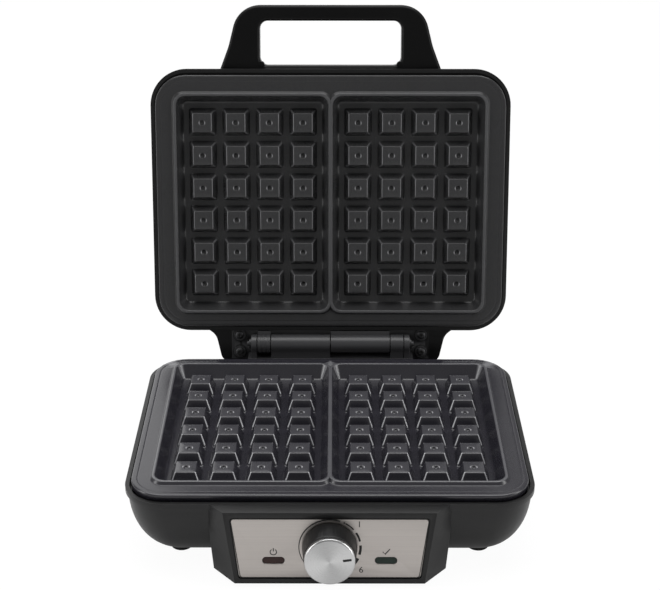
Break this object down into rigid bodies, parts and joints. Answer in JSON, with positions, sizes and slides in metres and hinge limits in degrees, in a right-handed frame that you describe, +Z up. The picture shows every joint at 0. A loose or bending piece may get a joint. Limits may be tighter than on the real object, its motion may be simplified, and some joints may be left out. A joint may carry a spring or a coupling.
{
  "type": "waffle maker",
  "caption": "Clamshell electric waffle maker with hinged lid, loop handle, pegged twin-cavity plates and a front dial panel.",
  "frame": {"origin": "on the table, in the middle of the open object's footprint box", "axes": "+X to the viewer's right, +Y to the rear where the hinge is, +Z up"},
  "size_m": [0.2476, 0.301, 0.2846],
  "materials": {
    "body_black": "satin moulded",
    "handle_black": "satin moulded",
    "plate_coat": "non-stick coated casting",
    "hinge_grey": "dark painted casting",
    "panel_steel": "brushed along its length",
    "cap_metal": "spun",
    "lens_red": "tinted window",
    "lens_green": "tinted window",
    "lamp_glass": "clear",
    "rubber_black": "matt",
    "steel_bright": "plain",
    "heater_steel": "oxidised sheath",
    "pan_aluminium": "rolled sheet",
    "ceramic_white": "unglazed"
  },
  "bodies": {
    "base": {"base_shell": "body_black", "front_fascia": "body_black", "fascia_screws": "steel_bright", "control_panel": "panel_steel", "power_lens": "lens_red", "ready_lens": "lens_green", "power_lamp": "lamp_glass", "ready_lamp": "lamp_glass", "thermostat_brace": "steel_bright", "thermostat_body": "ceramic_white", "thermostat_nut": "steel_bright", "cord_gland": "rubber_black", "terminal_block": "ceramic_white", "lower_plate": "plate_coat", "lower_heater": "heater_steel", "lower_reflector": "pan_aluminium", "lower_plate_screws": "steel_bright", "thermal_fuse": "steel_bright", "base_hinge_bracket": "hinge_grey", "bracket_screws": "steel_bright", "hinge_pin": "steel_bright", "hinge_clips": "steel_bright", "foot_front_left": "rubber_black", "foot_front_right": "rubber_black", "foot_rear_left": "rubber_black", "foot_rear_right": "rubber_black"},
    "lid": {"lid_hinge_leaf": "hinge_grey", "leaf_screws": "steel_bright", "lid_shell": "body_black", "lid_cover": "body_black", "handle": "handle_black", "handle_screws": "steel_bright", "upper_plate": "plate_coat", "upper_heater": "heater_steel", "upper_reflector": "pan_aluminium", "upper_plate_screws": "steel_bright"},
    "dial": {"thermostat_shaft": "steel_bright", "knob_skirt": "body_black", "knob_cap": "cap_metal"}
  },
  "joints": [
    {"name": "lid_hinge", "type": "hinge", "parent": "base", "child": "lid", "pos_m": [0, 0.07075, 0.059], "axis": [1, 0, 0], "range_deg": [0, 103.4]},
    {"name": "dial_turn", "type": "hinge", "parent": "base", "child": "dial", "pos_m": [0, -0.13178, 0.0273], "axis": [0, -0.996, 0.089], "range_deg": [-39, 54]}
  ]
}
